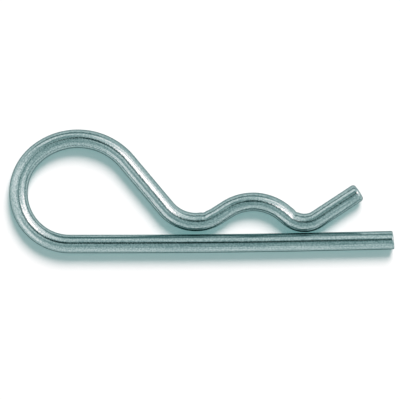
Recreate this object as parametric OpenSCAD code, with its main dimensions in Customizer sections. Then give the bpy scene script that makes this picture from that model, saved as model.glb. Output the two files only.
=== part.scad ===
// Hitch clip: one length of round spring wire, cold bent into the shape of an R.
// The straight leg goes through the cross hole of a shaft, the arm snaps over the outside of
// the shaft and the shaft sits under the hump.
// Millimetres. The wire's centre line lies in the plane Z = 0, so the clip lies on its side.
// X is the axis of the straight tip of the leg, pointing out of the tip, and +Y points from
// the leg to the arm. The origin is on that axis under the crest of the hump, where the
// centre of the held shaft is.

/* [Wire] */
// Diameter of the drawn wire
wire_d = 4; // [3:0.25:5]

/* [Cut ends] */
// Length of the small rounding at the tip of the leg, along the wire
tip_round_len = 0.3; // [0.1:0.05:1]
// Depth of the same rounding, in from the side of the wire
tip_round_depth = 0.25; // [0.1:0.05:1]
// Length of the fuller rounding at the end of the tail, along the wire
tail_round_len = 0.75; // [0.1:0.05:1]
// Depth of the same rounding, in from the side of the wire
tail_round_depth = 0.65; // [0.1:0.05:1]
// How far the middle of each cut end stands out of the rim of its face
end_crown = 0.1; // [0.05:0.05:0.4]

/* [Seat for the shaft] */
// Height of the inside of the hump over the leg's axis, a little less than the shaft's radius
seat_h = 6.9; // [6:0.1:9]
// Inside radius of the hump
hump_ri = 8.3; // [7:0.1:10]
// Straight wire between the first valley and the hump
rise_len = 2.6; // [1:0.1:5]
// Straight wire between the hump and the pinch valley
fall_len = 1.7; // [0.5:0.1:3]

/* [Valleys] */
// Inside radius of the first valley, at the end of the diagonal
heel_valley_ri = 6.4; // [4:0.1:8]
// Clearance of the first valley over a straight leg
heel_valley_gap = 0.8; // [0.5:0.05:1.5]
// Inside radius of the pinch valley, where the arm comes closest to the leg
pinch_valley_ri = 3.1; // [2.5:0.1:5]
// Clearance of the pinch valley over the leg
pinch_gap = 0.12; // [0.1:0.01:0.6]

/* [Flared tail] */
// Angle of the tail to the leg, which leads the arm over the shaft
flare_deg = 32.1; // [25:0.1:45]
// Length of the tail, with its cut end
flare_len = 10.8; // [7:0.1:14]

/* [Leg] */
// Reach of the leg past the lowest point of the pinch valley
leg_reach = 19.2; // [16:0.1:26]
// Length of the straight tip of the leg, with its cut end
tip_len = 14.4; // [8:0.1:15]
// Angle that the leg is set towards the arm, spread over a long bow
leg_set_deg = 1.2; // [0.6:0.1:2]
// Straight wire between the bow of the leg and the loop
heel_len = 9.2; // [4:0.1:12]

/* [Loop] */
// Inside radius of the back of the loop, next to the leg
loop_back_ri = 9; // [8:0.1:11]
// Angle that the back of the loop turns through
loop_back_deg = 140.9; // [120:0.1:150]
// Inside radius of the top of the loop, next to the diagonal
loop_top_ri = 11.8; // [10:0.1:14]
// Angle of the diagonal to the leg's axis
diagonal_deg = 51.2; // [46:0.1:56]

/* [Hidden] */
// Parts of the model, and the one that is drawn

// Flats round the wire and round a full turn of a bend
WIRE_FACETS = 64;
BEND_FACETS = 180;
// Fewest steps along a bend, which keeps the long bow of the leg smooth
BEND_MIN_STEPS = 4;
// Steps round the rounding of a cut end, and across its crowned face
END_STEPS = 5;
CROWN_STEPS = 3;
// Bends are set to the nearest part of a degree
BEND_STEP_DEG = 0.01;
// How far the ball over a joint stands out of the wire
JOINT_COVER = 0.005;

wire_r = wire_d / 2;

// Centre-line radii of the bends
hump_r = hump_ri + wire_r;
heel_valley_r = heel_valley_ri + wire_r;
pinch_valley_r = pinch_valley_ri + wire_r;
loop_back_r = loop_back_ri + wire_r;
loop_top_r = loop_top_ri + wire_r;

// Heights of the centre line over the leg's axis at the crest and at the two valleys
crest_y = seat_h + wire_r;
heel_valley_top_y = wire_d + heel_valley_gap;
pinch_valley_top_y = wire_d + pinch_gap;

// Slope of a straight of length len that joins two equal and opposite bends whose radii add
// up to r, so that the pair climbs a height h: r (1 - cos a) + len sin a = h
function slope(h, r, len) = acos((r - h) / norm([r, len])) - atan2(len, r);

// A bend to the nearest step
function bend_set(deg) = round(deg / BEND_STEP_DEG) * BEND_STEP_DEG;

rise_deg = bend_set(slope(crest_y - heel_valley_top_y, hump_r + heel_valley_r, rise_len));
fall_deg = bend_set(slope(crest_y - pinch_valley_top_y, hump_r + pinch_valley_r, fall_len));

// Lowest points of the two valleys, with the crest of the hump at X = 0
heel_valley_x = -(hump_r + heel_valley_r) * sin(rise_deg) - rise_len * cos(rise_deg);
pinch_valley_x = (hump_r + pinch_valley_r) * sin(fall_deg) + fall_len * cos(fall_deg);

// Ends of the straight tip
tip_end_x = pinch_valley_x + leg_reach;
tip_start_x = tip_end_x - tip_len;

// Where the diagonal runs into the first valley
diagonal_end = [
    heel_valley_x - heel_valley_r * sin(diagonal_deg),
    heel_valley_top_y + heel_valley_r * (1 - cos(diagonal_deg))
];

// Headings of the wire, counted from +X, on its way back from the tip: along the heel and at
// the joint of the loop's two bends
heel_heading = 180 - leg_set_deg;
top_heading = heel_heading - loop_back_deg;
loop_top_deg = top_heading + diagonal_deg;

// Travel along a right-hand bend of radius r between two headings
function right_bend(r, from, to) = r * [sin(from) - sin(to), cos(to) - cos(from)];

heel_travel = heel_len * [cos(heel_heading), sin(heel_heading)];
loop_travel = right_bend(loop_back_r, heel_heading, top_heading)
    + right_bend(loop_top_r, top_heading, -diagonal_deg);

// What the bow of the leg and the diagonal have to cover together. The bow's radius and the
// diagonal's length are the two unknowns that close the outline on the first valley.
bow_dir = right_bend(1, 180, heel_heading);
diagonal_dir = [cos(diagonal_deg), -sin(diagonal_deg)];
to_close = diagonal_end - [tip_start_x, 0] - heel_travel - loop_travel;
closing_area = cross(bow_dir, diagonal_dir);
bow_r = cross(to_close, diagonal_dir) / closing_area;
diagonal_len = cross(bow_dir, to_close) / closing_area;

// A straight stretch of wire along +X, and what follows it
module straight(len) {
    rotate([0, 90, 0])
        cylinder(h = len, r = wire_r, $fn = WIRE_FACETS);
    translate([len, 0, 0])
        children();
}

// A bend of centre-line radius r that starts along +X, and what follows it. The wire turns
// left, or right where side is -1. A ball that is a hair thicker than the wire covers the
// joint with the next stretch, so the two are one body whatever the angle rounds to.
module bend(r, deg, side = 1) {
    steps = max(BEND_MIN_STEPS, ceil(BEND_FACETS * deg / 360));
    mirror([0, (1 - side) / 2, 0])
        translate([0, r, 0])
            rotate([0, 0, -90])
                rotate_extrude(angle = deg, $fn = ceil(steps * 360 / deg))
                    translate([r, 0])
                        circle(r = wire_r, $fn = WIRE_FACETS);
    translate([0, side * r, 0])
        rotate([0, 0, side * deg])
            translate([0, -side * r, 0]) {
                sphere(r = wire_r + JOINT_COVER, $fn = WIRE_FACETS);
                children();
            }
}

// The last stretch of wire along +X, of length len with its cut end: sheared to a slightly
// crowned face, whose rim is rounded
module cut_wire(len, round_len, round_depth) {
    face_r = wire_r - round_depth;
    corner = [for (i = [0 : END_STEPS]) let (a = i * 90 / END_STEPS)
        [face_r + round_depth * cos(a), round_len * sin(a)]];
    crown = [for (i = [1 : CROWN_STEPS]) let (t = 1 - i / CROWN_STEPS)
        [face_r * t, round_len + end_crown * (1 - t * t)]];
    straight(len - round_len - end_crown)
        rotate([0, 90, 0])
            rotate_extrude($fn = WIRE_FACETS)
                polygon(concat([[0, 0]], corner, crown));
}

// The flared tail, from the end of the pinch valley to its cut end
module tail() {
    cut_wire(flare_len, tail_round_len, tail_round_depth);
}

// The arm, from the end of the loop: diagonal, first valley, hump, pinch valley and tail
module arm() {
    straight(diagonal_len)
        bend(heel_valley_r, diagonal_deg + rise_deg)
            straight(rise_len)
                bend(hump_r, rise_deg + fall_deg, side = -1)
                    straight(fall_len)
                        bend(pinch_valley_r, fall_deg + flare_deg)
                            tail();
}

// The loop, from the heel of the leg
module loop() {
    bend(loop_back_r, loop_back_deg, side = -1)
        bend(loop_top_r, loop_top_deg, side = -1)
            children();
}

// The whole clip, bent from the tip of the leg back to the tail
module r_clip() {
    color("lightsteelblue") {
        translate([tip_start_x, 0, 0])
            cut_wire(tip_len, tip_round_len, tip_round_depth);
        translate([tip_start_x, 0, 0])
            rotate([0, 0, 180])
                bend(bow_r, leg_set_deg, side = -1)
                    straight(heel_len)
                        loop()
                            arm();
    }
}

r_clip();
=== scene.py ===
# %% [markdown]
# # An R clip of spring wire
# The clip is one length of round wire: drawn straight, bent cold into the shape of an R and
# plated with bright zinc. It lies flat on a pale table, seen from straight above.
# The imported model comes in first, as the fixed frame that everything is built around.
# Its +X runs out of the tip of the straight leg, +Y points from the leg to the arm, +Z is up.

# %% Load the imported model
from math import acos, atan2, ceil, cos, degrees, hypot, pi, radians, sin

import bmesh
import bpy
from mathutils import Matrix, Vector
from mathutils.bvhtree import BVHTree


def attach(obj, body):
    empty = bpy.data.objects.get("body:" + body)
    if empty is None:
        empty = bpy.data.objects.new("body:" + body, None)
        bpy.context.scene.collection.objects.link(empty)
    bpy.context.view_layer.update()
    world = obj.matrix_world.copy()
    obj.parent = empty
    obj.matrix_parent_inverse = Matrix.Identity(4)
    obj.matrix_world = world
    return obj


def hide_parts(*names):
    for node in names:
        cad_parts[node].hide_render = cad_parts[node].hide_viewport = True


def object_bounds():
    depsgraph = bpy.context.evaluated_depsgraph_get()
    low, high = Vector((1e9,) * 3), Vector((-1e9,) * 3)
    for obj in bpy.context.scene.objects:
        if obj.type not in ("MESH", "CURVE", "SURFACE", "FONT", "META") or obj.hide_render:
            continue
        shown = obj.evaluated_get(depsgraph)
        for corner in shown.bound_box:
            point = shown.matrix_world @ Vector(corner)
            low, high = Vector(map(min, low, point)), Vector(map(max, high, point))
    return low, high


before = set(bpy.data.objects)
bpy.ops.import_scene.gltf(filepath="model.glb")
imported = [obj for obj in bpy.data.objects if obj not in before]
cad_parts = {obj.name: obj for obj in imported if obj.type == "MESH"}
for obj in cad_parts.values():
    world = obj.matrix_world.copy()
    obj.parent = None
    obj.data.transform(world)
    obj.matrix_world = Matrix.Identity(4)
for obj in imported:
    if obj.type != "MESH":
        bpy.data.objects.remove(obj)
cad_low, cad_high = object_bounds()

MM = 0.001
print("packed model, mm:", [round(side / MM, 2) for side in cad_high - cad_low])

# %% [markdown]
# ## The bend table
# A wire bender is set with a table: so much straight wire, a bend of this radius through this
# angle, more straight wire. The table here starts at the tip of the leg and ends at the cut
# end of the tail. Its sizes are the part's own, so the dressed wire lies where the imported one
# does. Drawing the outline by hand would be quicker, but a bend table keeps every stretch
# tangent to the next, which is what makes a reflection run along the wire without a break.

# %% Sizes of the wire and its bends
WIRE_R = 2 * MM

SEAT_H = 6.9 * MM
HEEL_VALLEY_GAP = 0.8 * MM
PINCH_GAP = 0.12 * MM

HUMP_R = 8.3 * MM + WIRE_R
HEEL_VALLEY_R = 6.4 * MM + WIRE_R
PINCH_VALLEY_R = 3.1 * MM + WIRE_R
LOOP_BACK_R = 9 * MM + WIRE_R
LOOP_TOP_R = 11.8 * MM + WIRE_R

RISE_LEN = 2.6 * MM
FALL_LEN = 1.7 * MM
TAIL_LEN = 10.8 * MM
TIP_LEN = 14.4 * MM
HEEL_LEN = 9.2 * MM
LEG_REACH = 19.2 * MM

FLARE = radians(32.1)
LEG_SET = radians(1.2)
LOOP_BACK = radians(140.9)
DIAGONAL = radians(51.2)

# %% [markdown]
# Two bends of opposite hand with a straight between them make a step, as between a valley and
# the hump. How steep the straight must stand follows from how high the step climbs.

# %% Slopes of the hump
CREST_Y = SEAT_H + WIRE_R
HEEL_VALLEY_Y = 2 * WIRE_R + HEEL_VALLEY_GAP
PINCH_VALLEY_Y = 2 * WIRE_R + PINCH_GAP


def slope(climb, radii, straight):
    """Angle of a straight between two opposite bends whose radii add up to radii."""
    return acos((radii - climb) / hypot(radii, straight)) - atan2(straight, radii)


RISE = slope(CREST_Y - HEEL_VALLEY_Y, HUMP_R + HEEL_VALLEY_R, RISE_LEN)
FALL = slope(CREST_Y - PINCH_VALLEY_Y, HUMP_R + PINCH_VALLEY_R, FALL_LEN)
print("rise and fall of the hump, degrees:", round(degrees(RISE), 2), round(degrees(FALL), 2))

# %% [markdown]
# Every stretch of the wire, straight or bent, is a length that turns evenly through an angle.
# One function can then walk any stretch, and a straight is a stretch that turns through none.

# %% Walking along the wire
def unit(heading):
    return Vector((cos(heading), sin(heading)))


def advance(point, heading, length, turn):
    """Point and heading at the end of a stretch. A left-hand turn is positive."""
    if turn == 0:
        return point + length * unit(heading), heading
    radius = length / turn
    centre = point + radius * unit(heading + pi / 2)
    return centre - radius * unit(heading + turn + pi / 2), heading + turn


def bend(radius, turn):
    """A bend as a stretch: its length and its turn."""
    return radius * abs(turn), turn


# %% [markdown]
# Two lengths are left open: the long gentle bow of the leg, and the diagonal. They close the
# outline, so that the loop leads back to the first valley. Where a stretch leads grows in
# proportion to its length, so two straight-line equations give both.

# %% Close the outline
heel_valley_x = -(HUMP_R + HEEL_VALLEY_R) * sin(RISE) - RISE_LEN * cos(RISE)
pinch_valley_x = (HUMP_R + PINCH_VALLEY_R) * sin(FALL) + FALL_LEN * cos(FALL)
LEG_END = Vector((pinch_valley_x + LEG_REACH, 0))

diagonal_end = Vector((heel_valley_x - HEEL_VALLEY_R * sin(DIAGONAL),
                       HEEL_VALLEY_Y + HEEL_VALLEY_R * (1 - cos(DIAGONAL))))
bow_step, heel_heading = advance(Vector((0, 0)), pi, 1, -LEG_SET)
diagonal_step = unit(-DIAGONAL)

LOOP = [
    (HEEL_LEN, 0),
    bend(LOOP_BACK_R, -LOOP_BACK),
    bend(LOOP_TOP_R, -(heel_heading - LOOP_BACK + DIAGONAL)),
]
point, heading = Vector((0, 0)), heel_heading
for stretch in LOOP:
    point, heading = advance(point, heading, *stretch)
to_close = diagonal_end - LEG_END + TIP_LEN * unit(0) - point
closing_area = bow_step.cross(diagonal_step)
bow_len = to_close.cross(diagonal_step) / closing_area
diagonal_len = bow_step.cross(to_close) / closing_area

STRETCHES = [(TIP_LEN, 0), (bow_len, -LEG_SET), *LOOP, (diagonal_len, 0),
             bend(HEEL_VALLEY_R, DIAGONAL + RISE), (RISE_LEN, 0),
             bend(HUMP_R, -(RISE + FALL)), (FALL_LEN, 0),
             bend(PINCH_VALLEY_R, FALL + FLARE), (TAIL_LEN, 0)]
WIRE_LEN = sum(length for length, turn in STRETCHES)
print("wire cut to", round(WIRE_LEN / MM, 1), "mm; bow", round(bow_len / MM, 1),
      "mm; diagonal", round(diagonal_len / MM, 1), "mm")

# %% [markdown]
# ## Rings of the mesh
# The surface will be a tube of rings. On the long run a ring each quarter millimetre follows
# the tightest bend closely. At a cut end the form changes within a hair's breadth: a crowned
# face, then a rounded corner. There the rings stand where the profile turns by equal steps.
# The two ends are not alike: the leg is cut square and only its edge is broken, while the
# tail, which rides over the shaft, has a full rounding.

# %% Distances of the rings along the wire
TIP_ROUND_LEN = 0.3 * MM
TIP_ROUND_DEPTH = 0.25 * MM
TAIL_ROUND_LEN = 0.75 * MM
TAIL_ROUND_DEPTH = 0.65 * MM
END_CROWN = 0.1 * MM
RING_STEP = 0.25 * MM
CROWN_RINGS = 6
CORNER_RINGS = 10


def end_rings(round_len):
    """Distances from a cut end: over its crowned face, then round the corner."""
    crown = [END_CROWN * (i / CROWN_RINGS) ** 2 for i in range(CROWN_RINGS)]
    corner = [END_CROWN + round_len * (1 - cos(pi / 2 * i / CORNER_RINGS))
              for i in range(CORNER_RINGS)]
    return crown + corner


run_start = END_CROWN + TIP_ROUND_LEN
run_len = WIRE_LEN - run_start - TAIL_ROUND_LEN - END_CROWN
steps = ceil(run_len / RING_STEP)
run_rings = [run_start + run_len * i / steps for i in range(steps + 1)]
tail_rings = [WIRE_LEN - along for along in reversed(end_rings(TAIL_ROUND_LEN))]
rings = end_rings(TIP_ROUND_LEN) + run_rings + tail_rings
print(len(rings), "rings")


# %% [markdown]
# The path that the tube will follow has one point for each ring. To find a point, the bend
# table is walked from the tip of the leg until the distance is used up.

# %% The centre line through the rings
def point_at(along):
    """Point of the centre line at a distance from the tip of the leg."""
    point, heading = LEG_END, pi
    for length, turn in STRETCHES:
        step = min(along, length)
        point, heading = advance(point, heading, step, turn * step / length)
        along -= step
        if along <= 0:
            break
    return point


path = bpy.data.curves.new("centre_line", "CURVE")
path.dimensions = "3D"
spline = path.splines.new("POLY")
spline.points.add(len(rings) - 1)
for ring, along in zip(spline.points, rings):
    ring.co = (*point_at(along), 0, 1)
clip_path = bpy.data.objects.new("clip_path", path)
bpy.context.scene.collection.objects.link(clip_path)

# %% [markdown]
# ## Small helpers for node trees
# The same helpers build every tree below, of geometry and of shaders. One adds a node with its
# settings and plugs or sets its inputs, one is for a single sum, and one starts a group.

# %% Helpers for node trees
def add(tree, kind, inputs=None, **settings):
    """A new node. An input is a socket to link or a value to set."""
    node = tree.nodes.new(kind)
    for name, value in settings.items():
        setattr(node, name, value)
    for key, value in (inputs or {}).items():
        if isinstance(value, bpy.types.NodeSocket):
            tree.links.new(value, node.inputs[key])
        else:
            node.inputs[key].default_value = value
    return node


def calc(tree, operation, *values, clamp=False):
    """The result of one sum."""
    inputs = dict(enumerate(values))
    return add(tree, "ShaderNodeMath", inputs, operation=operation, use_clamp=clamp).outputs[0]


def new_tree(name, kind, inputs, outputs):
    """A node group with named sockets: its tree, its input sockets and its output node."""
    tree = bpy.data.node_groups.new(name, kind)
    for in_out, sockets in (("INPUT", inputs), ("OUTPUT", outputs)):
        for socket_name, socket_type in sockets:
            tree.interface.new_socket(socket_name, in_out=in_out, socket_type=socket_type)
    return tree, tree.nodes.new("NodeGroupInput").outputs, tree.nodes.new("NodeGroupOutput")


# %% [markdown]
# ## Drawing the wire along its path
# The clip could be modelled as a swept tube by hand, with caps glued on. A Geometry Nodes tree
# does it by rule instead, in the order of the real work. It takes the path, works out the
# radius of each ring from how far the ring is from the nearer cut end, and sweeps a circle.
# It also writes down where each point of the surface was on the straight wire before bending.
# The drawing lines were made on that straight wire, so the finish is painted in those
# coordinates and follows every bend, as it does on the real clip.

# %% Tree of the drawn wire
FLOAT, VECTOR, GEOMETRY = "NodeSocketFloat", "NodeSocketVector", "NodeSocketGeometry"
PLACE_NAME = "straight_place"
WIRE_INPUTS = [
    ("Path", GEOMETRY), ("Wire Radius", FLOAT), ("Sides", "NodeSocketInt"),
    ("Tip Rounding Length", FLOAT), ("Tip Rounding Depth", FLOAT),
    ("Tail Rounding Length", FLOAT), ("Tail Rounding Depth", FLOAT),
    ("Crown", FLOAT), ("Tip Lean", FLOAT),
    ("First Mark", FLOAT), ("Second Mark", FLOAT), ("Mark Length", FLOAT), ("Mark Depth", FLOAT),
    ("Waviness", FLOAT), ("Wave Length", FLOAT), ("Seed", FLOAT),
    ("Wire Finish", "NodeSocketMaterial"), ("Cut Finish", "NodeSocketMaterial"),
]
wire_tree, wire_in, wire_out = new_tree("drawn_wire", "GeometryNodeTree", WIRE_INPUTS,
                                        [("Wire", GEOMETRY)])

along = add(wire_tree, "GeometryNodeSplineParameter").outputs["Length"]
full_length = add(wire_tree, "GeometryNodeSplineLength").outputs["Length"]
to_tail = calc(wire_tree, "SUBTRACT", full_length, along)
to_end = calc(wire_tree, "MINIMUM", along, to_tail)
near_tip = calc(wire_tree, "LESS_THAN", along, to_tail)


def of_nearer_end(size):
    """A size that the two cut ends have of their own, taken from the nearer one."""
    more = calc(wire_tree, "SUBTRACT", wire_in["Tip " + size], wire_in["Tail " + size])
    return calc(wire_tree, "MULTIPLY_ADD", near_tip, more, wire_in["Tail " + size])


# %% [markdown]
# The radius rises from nothing at the pole: as a square root over the crowned face, which
# makes a shallow dome, and then by a quarter of an ellipse round the corner.

# %% Radius of the wire near a cut end
rounding_depth = of_nearer_end("Rounding Depth")
face_radius = calc(wire_tree, "SUBTRACT", wire_in["Wire Radius"], rounding_depth)
face_share = calc(wire_tree, "DIVIDE", to_end, wire_in["Crown"], clamp=True)
face = calc(wire_tree, "MULTIPLY", face_radius, calc(wire_tree, "SQRT", face_share))
past_crown = calc(wire_tree, "SUBTRACT", to_end, wire_in["Crown"])
corner_share = calc(wire_tree, "DIVIDE", past_crown, of_nearer_end("Rounding Length"),
                    clamp=True)
corner_left = calc(wire_tree, "SUBTRACT", 1.0, corner_share)
corner_square = calc(wire_tree, "SUBTRACT", 1.0, calc(wire_tree, "POWER", corner_left, 2.0))
corner = calc(wire_tree, "MULTIPLY", rounding_depth, calc(wire_tree, "SQRT", corner_square))
ring_radius = calc(wire_tree, "ADD", face, corner)

# %% [markdown]
# A shear pushes the wire's end over as it cuts, so the face of the leg leans by a few degrees.
# Its rings slide along the wire, most on the side next to the arm, and the slide fades out.

# %% How far the rings of the tip take part in the lean
LEAN_HELD = 0.4 * MM
LEAN_FADE = 2 * MM

to_fade_end = calc(wire_tree, "SUBTRACT", LEAN_HELD + LEAN_FADE, along)
lean_left = calc(wire_tree, "DIVIDE", to_fade_end, LEAN_FADE, clamp=True)
lean_share = calc(wire_tree, "MULTIPLY", lean_left, wire_in["Tip Lean"])

# %% [markdown]
# The sweep itself is one node, but it forgets where its points came from. So what each ring
# needs later is captured on the path, and the place round the wire on the circle. Together
# they give the place on the straight wire, which stays on the mesh for the finish.

# %% Sweep a circle, and keep the place on the straight wire
on_path = add(wire_tree, "GeometryNodeCaptureAttribute")
for name, value in (("along", along), ("to_end", to_end), ("radius", ring_radius),
                    ("lean", lean_share)):
    on_path.capture_items.new("FLOAT", name)
    wire_tree.links.new(value, on_path.inputs[name])
wire_tree.links.new(wire_in["Path"], on_path.inputs[0])
upright = add(wire_tree, "GeometryNodeSetCurveNormal", {"Curve": on_path.outputs[0]}, mode="Z_UP")

circle = add(wire_tree, "GeometryNodeCurvePrimitiveCircle",
             {"Resolution": wire_in["Sides"], "Radius": 1.0})
on_circle = add(wire_tree, "GeometryNodeCaptureAttribute")
on_circle.capture_items.new("VECTOR", "round")
wire_tree.links.new(circle.outputs["Curve"], on_circle.inputs[0])
wire_tree.links.new(add(wire_tree, "GeometryNodeInputPosition").outputs[0],
                    on_circle.inputs["round"])

tube = add(wire_tree, "GeometryNodeCurveToMesh",
           {"Curve": upright.outputs[0], "Profile Curve": on_circle.outputs[0],
            "Scale": on_path.outputs["radius"]})
across = add(wire_tree, "ShaderNodeSeparateXYZ", {0: on_circle.outputs["round"]})
straight_place = add(wire_tree, "ShaderNodeCombineXYZ", {
    "X": on_path.outputs["along"],
    "Y": calc(wire_tree, "MULTIPLY", across.outputs["X"], on_path.outputs["radius"]),
    "Z": calc(wire_tree, "MULTIPLY", across.outputs["Y"], on_path.outputs["radius"])})
stored = add(wire_tree, "GeometryNodeStoreNamedAttribute",
             {"Geometry": tube.outputs[0], "Name": PLACE_NAME,
              "Value": straight_place.outputs[0]}, data_type="FLOAT_VECTOR", domain="POINT")

# %% [markdown]
# Bent wire is never a perfect tube. It keeps a faint waviness from the straightening rolls,
# a few hundredths of a millimetre deep, which is what makes a highlight on it swim. The tree
# sinks the surface by a seeded noise along its normals, and only ever inwards.

# %% Waviness
# Squeezing the place along the wire makes a wave longer along it than across
WAVE_SQUEEZE = (0.4, 1.0, 1.0)


def squeezed(tree, place, factors):
    """The place with each of its coordinates multiplied."""
    return add(tree, "ShaderNodeVectorMath", {0: place, 1: factors},
               operation="MULTIPLY").outputs[0]


wave_place = squeezed(wire_tree, straight_place.outputs[0], WAVE_SQUEEZE)
wave = add(wire_tree, "ShaderNodeTexNoise",
           {"Vector": wave_place, "W": wire_in["Seed"],
            "Scale": calc(wire_tree, "DIVIDE", 1.0, wire_in["Wave Length"]), "Detail": 1.0},
           noise_dimensions="4D")
wave_depth = calc(wire_tree, "MULTIPLY", wave.outputs["Fac"], wire_in["Waviness"])

# %% [markdown]
# Where the arm was bent over the pins of the bender, each pin left a shallow dent across the
# inside of a valley. A highlight that runs down the wire stops short there. The inside of the
# valleys is the side where the swept circle's own X is negative.

# %% Marks of the bending pins
FULL_DENT_AT = -0.7


def ramp(tree, value, low, high, to_low, to_high):
    """The value carried from one range to another, eased and held at its ends."""
    return add(tree, "ShaderNodeMapRange",
               {"Value": value, "From Min": low, "From Max": high, "To Min": to_low,
                "To Max": to_high}, interpolation_type="SMOOTHSTEP").outputs["Result"]


def mark_share(place):
    """1 in the middle of a pin's mark, falling to 0 at its length."""
    away = calc(wire_tree, "ABSOLUTE",
                calc(wire_tree, "SUBTRACT", on_path.outputs["along"], wire_in[place]))
    return ramp(wire_tree, calc(wire_tree, "DIVIDE", away, wire_in["Mark Length"]), 0.0, 1.0,
                1.0, 0.0)


on_inside = ramp(wire_tree, across.outputs["X"], 0.0, FULL_DENT_AT, 0.0, 1.0)
marks = calc(wire_tree, "ADD", mark_share("First Mark"), mark_share("Second Mark"))
dent = calc(wire_tree, "MULTIPLY", calc(wire_tree, "MULTIPLY", marks, on_inside),
            wire_in["Mark Depth"])
sunk = calc(wire_tree, "ADD", wave_depth, dent)
inwards = add(wire_tree, "ShaderNodeVectorMath",
              {0: add(wire_tree, "GeometryNodeInputNormal").outputs[0],
               "Scale": calc(wire_tree, "MULTIPLY", sunk, -1.0)}, operation="SCALE")

# %% [markdown]
# What is left is to move the points, all at once, and to close the tube. The rings at the two
# poles have no radius, so their points lie on one spot and are welded there.

# %% Moved points, welded poles, materials
WELD_DISTANCE = 0.002 * MM

across_leg = add(wire_tree, "ShaderNodeSeparateXYZ",
                 {0: add(wire_tree, "GeometryNodeInputPosition").outputs[0]}).outputs["Y"]
from_low_side = calc(wire_tree, "ADD", across_leg, wire_in["Wire Radius"])
slide = calc(wire_tree, "MULTIPLY", calc(wire_tree, "MULTIPLY", from_low_side, -1.0),
             on_path.outputs["lean"])
slid = add(wire_tree, "ShaderNodeCombineXYZ", {"X": slide})
moved = add(wire_tree, "ShaderNodeVectorMath", {0: inwards.outputs[0], 1: slid.outputs[0]},
            operation="ADD")
shaped = add(wire_tree, "GeometryNodeSetPosition",
             {"Geometry": stored.outputs[0], "Offset": moved.outputs[0]})
welded = add(wire_tree, "GeometryNodeMergeByDistance",
             {"Geometry": shaped.outputs[0], "Distance": WELD_DISTANCE})
smooth = add(wire_tree, "GeometryNodeSetShadeSmooth", {"Geometry": welded.outputs[0]})
real = add(wire_tree, "GeometryNodeRealizeInstances", {"Geometry": smooth.outputs[0]})
plated = add(wire_tree, "GeometryNodeSetMaterial",
             {"Geometry": real.outputs[0], "Material": wire_in["Wire Finish"]})
on_face = calc(wire_tree, "LESS_THAN", on_path.outputs["to_end"], wire_in["Crown"])
dressed = add(wire_tree, "GeometryNodeSetMaterial",
              {"Geometry": plated.outputs[0], "Selection": on_face,
               "Material": wire_in["Cut Finish"]})
wire_tree.links.new(dressed.outputs[0], wire_out.inputs[0])
print("wire tree:", len(wire_tree.nodes), "nodes")

# %% [markdown]
# ## Zinc
# Up close the plate shows two things. Fine lines run along the wire, left by the drawing die,
# and some of them are dull streaks. A slight orange peel, grains of a third of a millimetre,
# comes from the plating itself, and past the leg it is rougher, because the tools of the
# bender have rubbed the wire there. The cut ends share the peel but have no drawing lines, so
# the effect is a node group that both finishes use with values of their own.

# %% Group of the plated surface
LINE_SQUEEZE = (0.012, 1.0, 1.0)
WORKED_FADE = 8 * MM

zinc_tree, zinc_in, zinc_out = new_tree(
    "plated_surface", "ShaderNodeTree",
    [("Place", VECTOR), ("Line Width", FLOAT), ("Line Depth", FLOAT), ("Grain Size", FLOAT),
     ("Grain Depth", FLOAT), ("Worked From", FLOAT), ("Worked Gain", FLOAT)],
    [("Height", FLOAT), ("Lines", FLOAT), ("Grain", FLOAT)])


def noise(tree, place, size, roughness):
    """Noise from 0 to 1 whose features are about as large as size."""
    scale = calc(tree, "DIVIDE", 1.0, size)
    return add(tree, "ShaderNodeTexNoise", {"Vector": place, "Scale": scale, "Detail": 3.0,
                                            "Roughness": roughness}).outputs["Fac"]


line_place = squeezed(zinc_tree, zinc_in["Place"], LINE_SQUEEZE)
lines = noise(zinc_tree, line_place, zinc_in["Line Width"], roughness=0.6)
grain = noise(zinc_tree, zinc_in["Place"], zinc_in["Grain Size"], roughness=0.55)
line_height = calc(zinc_tree, "MULTIPLY", lines, zinc_in["Line Depth"])
along_wire = add(zinc_tree, "ShaderNodeSeparateXYZ", {0: zinc_in["Place"]}).outputs["X"]
past_leg = calc(zinc_tree, "SUBTRACT", along_wire, zinc_in["Worked From"])
gain = ramp(zinc_tree, past_leg, 0.0, WORKED_FADE, 1.0, zinc_in["Worked Gain"])
grain_height = calc(zinc_tree, "MULTIPLY", calc(zinc_tree, "MULTIPLY", grain, gain),
                    zinc_in["Grain Depth"])
zinc_tree.links.new(calc(zinc_tree, "ADD", line_height, grain_height), zinc_out.inputs["Height"])
zinc_tree.links.new(lines, zinc_out.inputs["Lines"])
zinc_tree.links.new(grain, zinc_out.inputs["Grain"])

# %% [markdown]
# A finish turns the group's masks into colour and gloss. Raised grains and lines are darker,
# and raised lines duller too, because they are what rubs against things. The plate's clear
# top coat dulls it where it is seen at a grazing angle, which draws a darker rim round the wire.

# %% Helper for a finish made with the group
ZINC_TINT = (0.42, 0.54, 0.54, 1)
ZINC_DARK = (0.22, 0.34, 0.345, 1)
EDGE_TINT = (0.14, 0.19, 0.19, 1)
# Where on the masks the darker colour and the gloss begin and end, and the most of that colour
DARK_GRAINS = (0.38, 0.62)
DARK_LINES = (0.38, 0.66)
GLOSS_LINES = (0.3, 0.7)
DARK_MOST = 0.6


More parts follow.
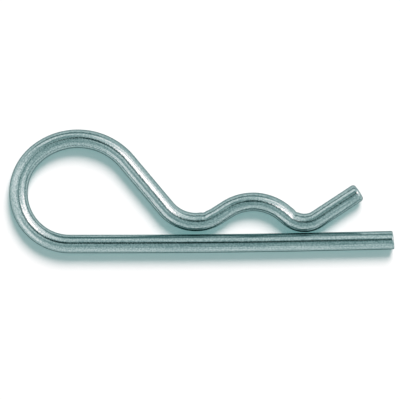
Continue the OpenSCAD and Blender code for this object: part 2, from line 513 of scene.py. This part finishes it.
def zinc_finish(name, surface, gloss):
    """A metal whose colour, gloss and relief all come from the plated surface."""
    material = bpy.data.materials.new(name)
    material.use_nodes = True
    tree = material.node_tree
    shader = tree.nodes["Principled BSDF"]
    place = add(tree, "ShaderNodeAttribute", attribute_name=PLACE_NAME).outputs["Vector"]
    group = add(tree, "ShaderNodeGroup", node_tree=zinc_tree)
    tree.links.new(place, group.inputs["Place"])
    for socket, value in surface.items():
        group.inputs[socket].default_value = value
    wear = ramp(tree, group.outputs["Grain"], *DARK_GRAINS, 0.0, DARK_MOST)
    streak = ramp(tree, group.outputs["Lines"], *DARK_LINES, 0.0, DARK_MOST)
    dark = calc(tree, "ADD", wear, streak, clamp=True)
    colour = add(tree, "ShaderNodeMix", {"Factor": dark, 6: ZINC_TINT, 7: ZINC_DARK},
                 data_type="RGBA").outputs[2]
    tree.links.new(colour, shader.inputs["Base Color"])
    tree.links.new(ramp(tree, group.outputs["Lines"], *GLOSS_LINES, *gloss),
                   shader.inputs["Roughness"])
    bump = add(tree, "ShaderNodeBump", {"Height": group.outputs["Height"], "Strength": 1.0,
                                        "Distance": 1.0})
    tree.links.new(bump.outputs["Normal"], shader.inputs["Normal"])
    shader.inputs["Metallic"].default_value = 1.0
    shader.inputs["Specular Tint"].default_value = EDGE_TINT
    return material


# %% The two finishes
wire_finish = zinc_finish("zinc_on_drawn_wire", {
    "Line Width": 0.15 * MM, "Line Depth": 0.002 * MM,
    "Grain Size": 0.35 * MM, "Grain Depth": 0.009 * MM,
    "Worked From": TIP_LEN + bow_len + HEEL_LEN, "Worked Gain": 2.2}, gloss=(0.06, 0.14))
cut_finish = zinc_finish("zinc_on_cut_end", {
    "Line Width": 0.2 * MM, "Line Depth": 0.0,
    "Grain Size": 0.25 * MM, "Grain Depth": 0.02 * MM,
    "Worked From": 0.0, "Worked Gain": 1.0}, gloss=(0.3, 0.4))

# %% [markdown]
# ## Make the clip
# The tree runs on the path with the part's own sizes. Its result becomes a plain mesh and the
# path is thrown away. A modifier's inputs are set by the identifiers of their sockets.

# %% Values of the clip
# Slope of the leaning face, about five degrees
TIP_LEAN = 0.08
# Places of the two valleys in the bend table
HEEL_VALLEY_ROW = 6
PINCH_VALLEY_ROW = 10
# The first pin's mark is this far before the end of its valley, the second after the start
FIRST_MARK_BACK = 2.6 * MM
SECOND_MARK_ON = 0.6 * MM

heel_valley_end = sum(length for length, turn in STRETCHES[:HEEL_VALLEY_ROW + 1])
pinch_valley_start = sum(length for length, turn in STRETCHES[:PINCH_VALLEY_ROW])
WIRE_VALUES = {
    "Wire Radius": WIRE_R, "Sides": 64, "Crown": END_CROWN, "Tip Lean": TIP_LEAN,
    "Tip Rounding Length": TIP_ROUND_LEN, "Tip Rounding Depth": TIP_ROUND_DEPTH,
    "Tail Rounding Length": TAIL_ROUND_LEN, "Tail Rounding Depth": TAIL_ROUND_DEPTH,
    "First Mark": heel_valley_end - FIRST_MARK_BACK,
    "Second Mark": pinch_valley_start + SECOND_MARK_ON,
    "Mark Length": 0.9 * MM, "Mark Depth": 0.15 * MM,
    "Waviness": 0.025 * MM, "Wave Length": 1.6 * MM, "Seed": 4.0,
    "Wire Finish": wire_finish, "Cut Finish": cut_finish,
}
print("pin marks at", round(WIRE_VALUES["First Mark"] / MM, 1), "and",
      round(WIRE_VALUES["Second Mark"] / MM, 1), "mm of wire")

# %% Run the tree
modifier = clip_path.modifiers.new("drawn wire", "NODES")
modifier.node_group = wire_tree
for item in wire_tree.interface.items_tree:
    if item.in_out == "INPUT" and item.name in WIRE_VALUES:
        modifier[item.identifier] = WIRE_VALUES[item.name]
bpy.context.view_layer.update()
depsgraph = bpy.context.evaluated_depsgraph_get()
clip_mesh = bpy.data.meshes.new_from_object(
    clip_path.evaluated_get(depsgraph), preserve_all_data_layers=True, depsgraph=depsgraph)
clip_mesh.name = "spring_clip"
clip_path.modifiers.remove(modifier)
bpy.data.objects.remove(clip_path)
clip = bpy.data.objects.new("spring_clip", clip_mesh)
bpy.context.scene.collection.objects.link(clip)

# %% [markdown]
# ## Look the clip over
# The mesh has to be closed, with its faces outward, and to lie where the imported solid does. Its
# volume and its distance from that solid are measured before it takes that solid's place.

# %% Faces, edges and volume
check = bmesh.new()
check.from_mesh(clip_mesh)
if check.calc_volume(signed=True) < 0:
    bmesh.ops.reverse_faces(check, faces=check.faces)
    check.to_mesh(clip_mesh)
open_edges = sum(1 for edge in check.edges if not edge.is_manifold)
triangles = sum(len(face.verts) - 2 for face in check.faces)
print("clip:", triangles, "triangles,", open_edges, "open edges,",
      round(check.calc_volume() / MM ** 3, 1), "mm3")
check.free()

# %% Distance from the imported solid
SAMPLE_EVERY = 7

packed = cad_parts["r_clip"]
packed_tree = BVHTree.FromObject(packed, bpy.context.evaluated_depsgraph_get())
samples = list(clip_mesh.vertices)[::SAMPLE_EVERY]
gaps = [packed_tree.find_nearest(vertex.co)[3] for vertex in samples]
print("farthest from the packed solid, mm:", round(max(gaps) / MM, 4))

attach(clip, "root")
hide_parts("r_clip")

# %% [markdown]
# ## The table
# A plain pale table keeps the clip's soft shadow, and in the picture that shadow is sea green.
# So the table's own colour leans to red, and a faint sea-green glow adds what white still
# lacks. Where the lamp is held off, there is less of the red and the glow shows. It is meant
# for whatever looks at the table, the camera as well as a mirror, and it lights nothing.

# %% Pale table
FLOOR_HALF = 4.0
FLOOR_TINT = (0.9, 0.75, 0.75, 1)
FLOOR_GLOW = (0.1, 0.25, 0.25, 1)


def shown(tree):
    """1 where the camera, a mirror or a clear thing looks, 0 for the light that falls."""
    rays = add(tree, "ShaderNodeLightPath").outputs
    looked = calc(tree, "ADD", rays["Is Camera Ray"], rays["Is Glossy Ray"])
    return calc(tree, "ADD", looked, rays["Is Transmission Ray"], clamp=True)


floor_mesh = bpy.data.meshes.new("table_top")
floor_mesh.from_pydata([(x, y, cad_low.z) for x, y in (
    (-FLOOR_HALF, -FLOOR_HALF), (FLOOR_HALF, -FLOOR_HALF),
    (FLOOR_HALF, FLOOR_HALF), (-FLOOR_HALF, FLOOR_HALF))], [], [(0, 1, 2, 3)])
floor = bpy.data.objects.new("table_top", floor_mesh)
bpy.context.scene.collection.objects.link(floor)

floor_finish = bpy.data.materials.new("pale_table")
floor_finish.use_nodes = True
floor_nodes = floor_finish.node_tree
floor_shader = floor_nodes.nodes["Principled BSDF"]
floor_shader.inputs["Base Color"].default_value = FLOOR_TINT
floor_shader.inputs["Roughness"].default_value = 1.0
floor_shader.inputs["Specular IOR Level"].default_value = 0.0
floor_shader.inputs["Emission Color"].default_value = FLOOR_GLOW
floor_nodes.links.new(shown(floor_nodes), floor_shader.inputs["Emission Strength"])
floor_mesh.materials.append(floor_finish)

# %% [markdown]
# ## Light
# Bright metal is a mirror, so what it shows is the studio: an evenly lit room with soft panels
# round the table. The panels are painted on the world by direction, with soft edges, which
# gives less noise than many lamps would. Each is a rectangle on a plane that faces the clip,
# so its half width and half height are tangents of the angles at which they are seen.

# %% Group of one soft panel
# Directions that face a panel by less than this are beside it or behind it
LEAST_FACING = 0.01

panel_tree, panel_in, panel_out = new_tree(
    "soft_panel", "ShaderNodeTree",
    [("Direction", VECTOR), ("Centre", VECTOR), ("Right", VECTOR), ("Up", VECTOR),
     ("Half Width", FLOAT), ("Half Height", FLOAT), ("Soft Edge", FLOAT)],
    [("Mask", FLOAT)])


def dot(tree, one, other):
    return add(tree, "ShaderNodeVectorMath", {0: one, 1: other},
               operation="DOT_PRODUCT").outputs["Value"]


facing = dot(panel_tree, panel_in["Direction"], panel_in["Centre"])
in_front = calc(panel_tree, "GREATER_THAN", facing, LEAST_FACING)
distance = calc(panel_tree, "MAXIMUM", facing, LEAST_FACING)
masks = []
for side, half in (("Right", "Half Width"), ("Up", "Half Height")):
    offset = calc(panel_tree, "DIVIDE", dot(panel_tree, panel_in["Direction"], panel_in[side]),
                  distance)
    inside = calc(panel_tree, "SUBTRACT", panel_in[half],
                  calc(panel_tree, "ABSOLUTE", offset))
    share = calc(panel_tree, "DIVIDE", inside, panel_in["Soft Edge"])
    masks.append(ramp(panel_tree, share, -0.5, 0.5, 0.0, 1.0))
both = calc(panel_tree, "MULTIPLY", *masks)
panel_tree.links.new(calc(panel_tree, "MULTIPLY", both, in_front), panel_out.inputs["Mask"])

# %% [markdown]
# What each panel and dark patch draws on the wire can be read off where it stands. The small
# strong key stands high beyond the clip to the right, and its white reflection runs down the
# diagonal, with a wide dimmer glow round it. A long bank on the far side fills the upper half
# of the wire, a tall one at the left the loop. The near side and the near wall behind it light
# the lower half of the wire, and the near corner the lower side of the diagonal.
# The ceiling is dimmer than the walls. In it hangs the camera, the small black patch that
# draws the thin dark line along the middle of the leg, and the far wall behind the table is
# dark too, which gives the upper edges their dark rim.

# %% Panels round the table
# Name: azimuth and height in degrees, half width, half height, soft edge, level added
PANELS = {
    "key": (37, 60, 0.15, 0.28, 0.27, 2.1),
    "key glow": (24, 44, 0.81, 0.75, 0.80, 0.75),
    "far side": (70, 41.6, 1.86, 0.28, 0.16, 0.63),
    "left side": (167, 32, 0.36, 1.39, 0.74, 0.78),
    "near side": (260, 15.4, 2.85, 0.58, 0.77, 0.34),
    "near wall": (250, 2, 1.8, 0.12, 0.14, 0.30),
    "near corner": (218, 18, 0.30, 0.42, 0.45, 0.50),
}
# The same, but with the share of the light that is let through in place of the level
DARKS = {
    "ceiling": (70, 66.6, 0.57, 0.60, 0.26, 0.66),
    "camera": (79, 77.2, 0.12, 0.17, 0.04, 0.05),
    "far wall": (100, 2, 0.55, 0.14, 0.10, 0.30),
}
ROOM_LEVEL = 0.65

# %% World
world = bpy.data.worlds.new("studio")
world.use_nodes = True
bpy.context.scene.world = world
sky = world.node_tree
sky.nodes.clear()
direction = add(sky, "ShaderNodeTexCoord").outputs["Generated"]


def panel(azimuth, height, half_width, half_height, soft_edge):
    """Mask of a panel whose middle is seen at an azimuth and a height over the table."""
    a, h = radians(azimuth), radians(height)
    node = add(sky, "ShaderNodeGroup", node_tree=panel_tree)
    sky.links.new(direction, node.inputs["Direction"])
    node.inputs["Centre"].default_value = (cos(a) * cos(h), sin(a) * cos(h), sin(h))
    node.inputs["Right"].default_value = (-sin(a), cos(a), 0)
    node.inputs["Up"].default_value = (-cos(a) * sin(h), -sin(a) * sin(h), cos(h))
    node.inputs["Half Width"].default_value = half_width
    node.inputs["Half Height"].default_value = half_height
    node.inputs["Soft Edge"].default_value = soft_edge
    return node.outputs["Mask"]


def over(level, *shape_and_share):
    """The level with a dark patch over it that lets a share of it through."""
    *shape, share = shape_and_share
    held_off = calc(sky, "MULTIPLY", panel(*shape), 1 - share)
    return calc(sky, "MULTIPLY", level, calc(sky, "SUBTRACT", 1.0, held_off))


level = ROOM_LEVEL
for name, (*shape, strength) in PANELS.items():
    if name != "key":
        level = calc(sky, "MULTIPLY_ADD", panel(*shape), strength, level)
for patch in DARKS.values():
    level = over(level, *patch)
*shape, strength = PANELS["key"]
level = calc(sky, "MULTIPLY_ADD", panel(*shape), strength, level)

# %% [markdown]
# Two things tune the painted room to the picture. Its shadow is deep, so the room lights the
# table and everything else with a share of what a mirror sees of it, and most of the table's
# light is left to one lamp. And the darker a reflection is in the picture, the more it turns
# to sea green, so in what a mirror sees red falls faster than green and blue.

# %% What lights and what is mirrored
TABLE_SHARE = 0.22
RED_FALL = 1.4

mirrored = shown(sky)
red_more = calc(sky, "SUBTRACT", calc(sky, "POWER", level, RED_FALL), level)
red = calc(sky, "MULTIPLY_ADD", mirrored, red_more, level)
light = add(sky, "ShaderNodeCombineColor",
            {"Red": red, "Green": level, "Blue": level}).outputs["Color"]
share = calc(sky, "MULTIPLY_ADD", mirrored, 1 - TABLE_SHARE, TABLE_SHARE)
background = add(sky, "ShaderNodeBackground", {"Color": light, "Strength": share})
add(sky, "ShaderNodeOutputWorld", {"Surface": background.outputs[0]})

# %% [markdown]
# The clip's shadow falls to the near side and slightly to the left, dark next to the wire and
# gone within its own width. So the lamp stands half way up beyond the clip, a little to the
# right, and is as wide as a soft box. It is hidden from reflections, because the wire in the
# picture mirrors the panels and not this lamp.

# %% Shadow lamp
LAMP_AZIMUTH, LAMP_HEIGHT = radians(72), radians(46.5)
LAMP_ANGLE = radians(27)
LAMP_SHARE = 0.81

lamp_data = bpy.data.lights.new("shadow_lamp", "SUN")
lamp_data.angle = LAMP_ANGLE
# A sun straight above lights a white table to its strength over pi, a lower one by its sine
lamp_data.energy = LAMP_SHARE * pi / sin(LAMP_HEIGHT)
lamp = bpy.data.objects.new("shadow_lamp", lamp_data)
lamp.rotation_euler = (0, pi / 2 - LAMP_HEIGHT, LAMP_AZIMUTH)
lamp.visible_glossy = False
bpy.context.scene.collection.objects.link(lamp)

# %% [markdown]
# ## Camera
# The picture looks straight down, with the leg all but level: the clip is turned a little
# more than a degree. A long lens from 60 cm keeps the wire's two ends alike.

# %% Camera straight above
CAMERA_HEIGHT = 0.6
SENSOR_WIDTH = 36
FRAME_WIDTH = 86.02 * MM
VIEW_CENTRE = Vector((-11.17 * MM, 9.53 * MM))
ROLL = radians(-1.23)

camera_data = bpy.data.cameras.new("camera")
camera_data.sensor_width = SENSOR_WIDTH
camera_data.lens = SENSOR_WIDTH * CAMERA_HEIGHT / FRAME_WIDTH
camera = bpy.data.objects.new("camera", camera_data)
camera.location = (*VIEW_CENTRE, CAMERA_HEIGHT)
camera.rotation_euler = (0, 0, ROLL)
bpy.context.scene.collection.objects.link(camera)
bpy.context.scene.camera = camera
bpy.context.scene.view_settings.view_transform = "Standard"
print("lens:", round(camera_data.lens, 1), "mm")
